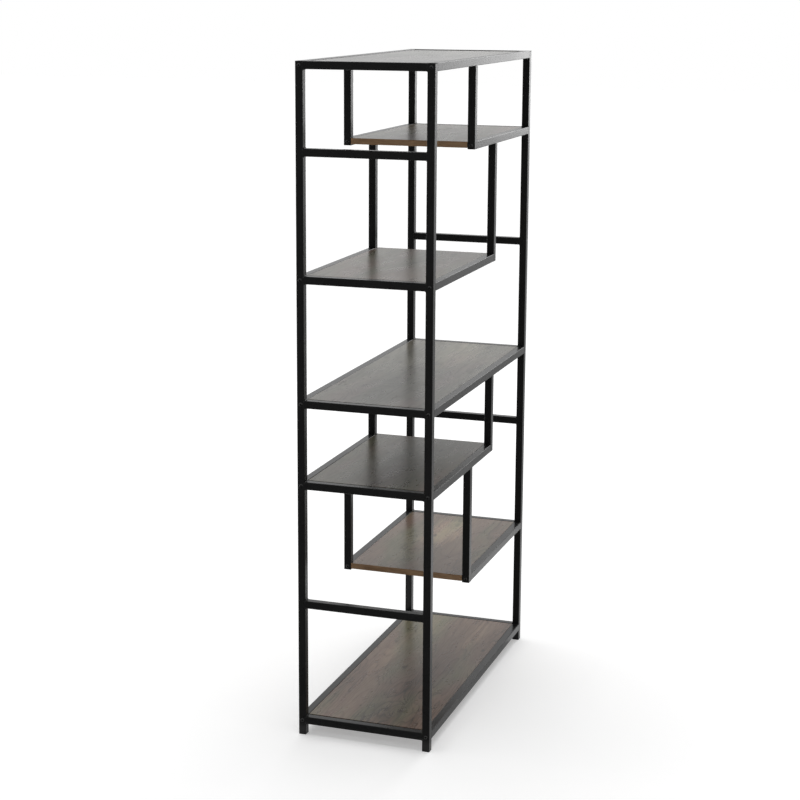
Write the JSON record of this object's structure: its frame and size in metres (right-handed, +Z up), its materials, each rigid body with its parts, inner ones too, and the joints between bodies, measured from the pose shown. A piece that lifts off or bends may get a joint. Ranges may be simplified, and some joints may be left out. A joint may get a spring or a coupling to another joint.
{
  "type": "open bookcase",
  "caption": "Tall open bookcase with a slim square-tube frame, full-length shelves and part-length shelves that hang from the level above at staggered ends.",
  "frame": {"origin": "on the floor, below the middle of the bookcase", "axes": "+Z up, X along the shelves with the left end at -X, +Y from the front to the back"},
  "size_m": [0.9058, 0.36, 1.75],
  "materials": {
    "frame": "satin black powder coat",
    "board": "satin grey-brown oak laminate",
    "end_band": "matt brown band",
    "plastic": "matt black",
    "bolt": "satin black",
    "zinc": "zinc plated"
  },
  "bodies": {
    "root": {"left_front_post": "frame", "left_back_post": "frame", "right_front_post": "frame", "right_back_post": "frame", "left_front_foot": "plastic", "left_back_foot": "plastic", "right_front_foot": "plastic", "right_back_foot": "plastic", "left_crossbar_1": "frame", "left_crossbar_2": "frame", "left_crossbar_3": "frame", "left_crossbar_4": "frame", "left_crossbar_5": "frame", "left_crossbar_6": "frame", "left_crossbar_7": "frame", "right_crossbar_1": "frame", "right_crossbar_2": "frame", "right_crossbar_3": "frame", "right_crossbar_4": "frame", "right_crossbar_5": "frame", "right_crossbar_6": "frame", "right_crossbar_7": "frame", "front_rail_1": "frame", "front_rail_2": "frame", "front_rail_3": "frame", "front_rail_4": "frame", "front_rail_5": "frame", "front_rail_6": "frame", "front_rail_7": "frame", "back_rail_1": "frame", "back_rail_2": "frame", "back_rail_3": "frame", "back_rail_4": "frame", "back_rail_5": "frame", "back_rail_6": "frame", "back_rail_7": "frame", "front_hanger_2": "frame", "front_hanger_3": "frame", "front_hanger_5": "frame", "front_hanger_6": "frame", "back_hanger_2": "frame", "back_hanger_3": "frame", "back_hanger_5": "frame", "back_hanger_6": "frame", "shelf_board_1": "board", "shelf_board_2": "board", "shelf_board_3": "board", "shelf_board_4": "board", "shelf_board_5": "board", "shelf_board_6": "board", "shelf_board_7": "board", "board_end_bands": "end_band", "shelf_tabs": "frame", "tab_screws": "zinc", "rail_end_plates": "zinc", "post_bolts": "bolt", "hanger_bolts": "bolt", "post_plugs": "plastic", "hanger_plugs": "plastic"}
  },
  "joints": []
}
